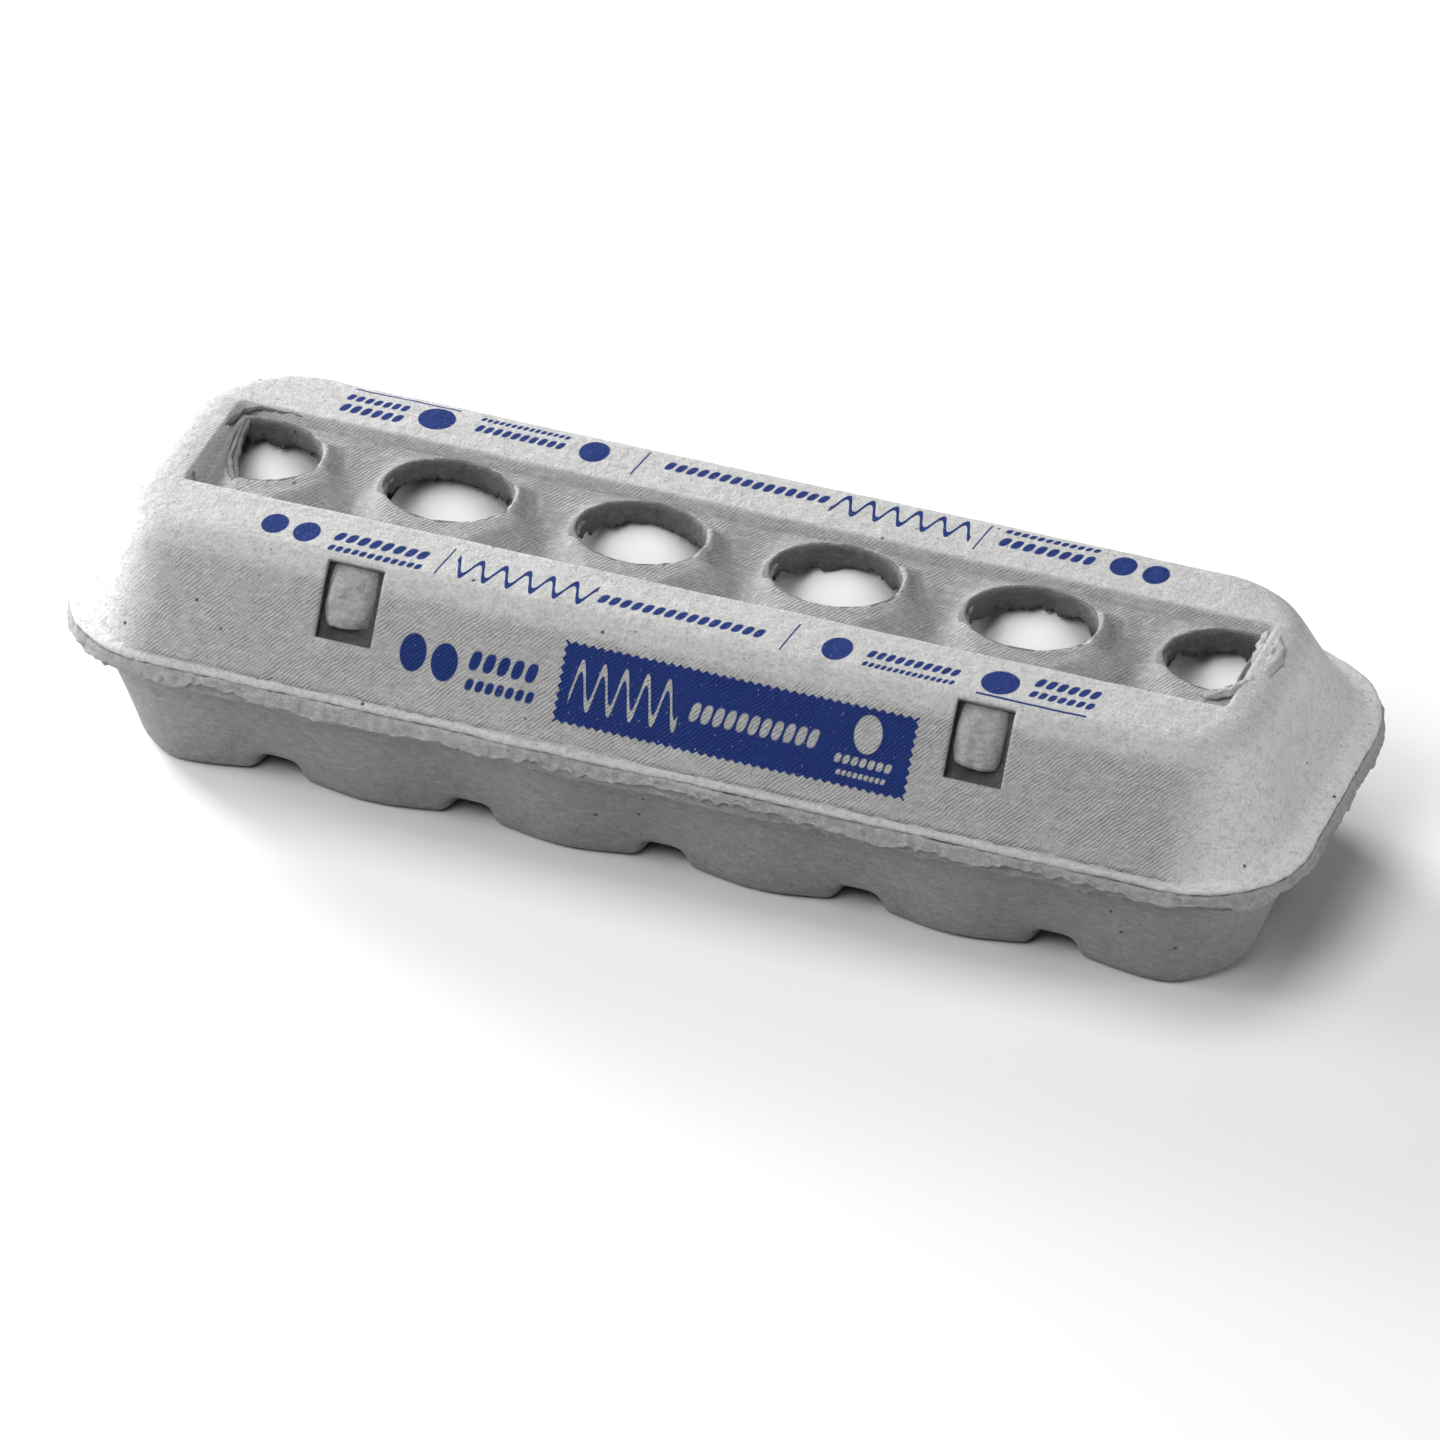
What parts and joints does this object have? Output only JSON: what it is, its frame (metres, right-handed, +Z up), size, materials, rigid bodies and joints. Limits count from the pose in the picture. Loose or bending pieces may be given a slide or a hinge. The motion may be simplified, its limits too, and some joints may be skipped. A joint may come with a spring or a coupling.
{
  "type": "egg carton with eggs",
  "caption": "Closed moulded pulp carton with white eggs in two rows, a hinged lid with oval viewing windows in a sunken channel, and two latch slots in front.",
  "frame": {"origin": "middle of the carton at the level its cups stand on, at rest with the lid shut", "axes": "+X along the rows of eggs, to the right seen from the front; +Y from the latch front to the hinge at the back; +Z up"},
  "size_m": [0.297, 0.1014, 0.063],
  "materials": {
    "tray_pulp": "rough grey moulded paper pulp with fine fibres and dark specks",
    "lid_pulp": null,
    "eggshell": "matt white eggshell"
  },
  "bodies": {
    "tray": {"base_tray": "tray_pulp", "egg_01": "eggshell", "egg_02": "eggshell", "egg_03": "eggshell", "egg_04": "eggshell", "egg_05": "eggshell", "egg_06": "eggshell", "egg_07": "eggshell", "egg_08": "eggshell", "egg_09": "eggshell", "egg_10": "eggshell", "egg_11": "eggshell", "egg_12": "eggshell"},
    "lid": {"lid": "lid_pulp"}
  },
  "joints": [
    {"name": "lid_hinge", "type": "hinge", "parent": "tray", "child": "lid", "pos_m": [0, 0.051, 0.03445], "axis": [-1, 0, 0], "range_deg": [0, 180]}
  ]
}
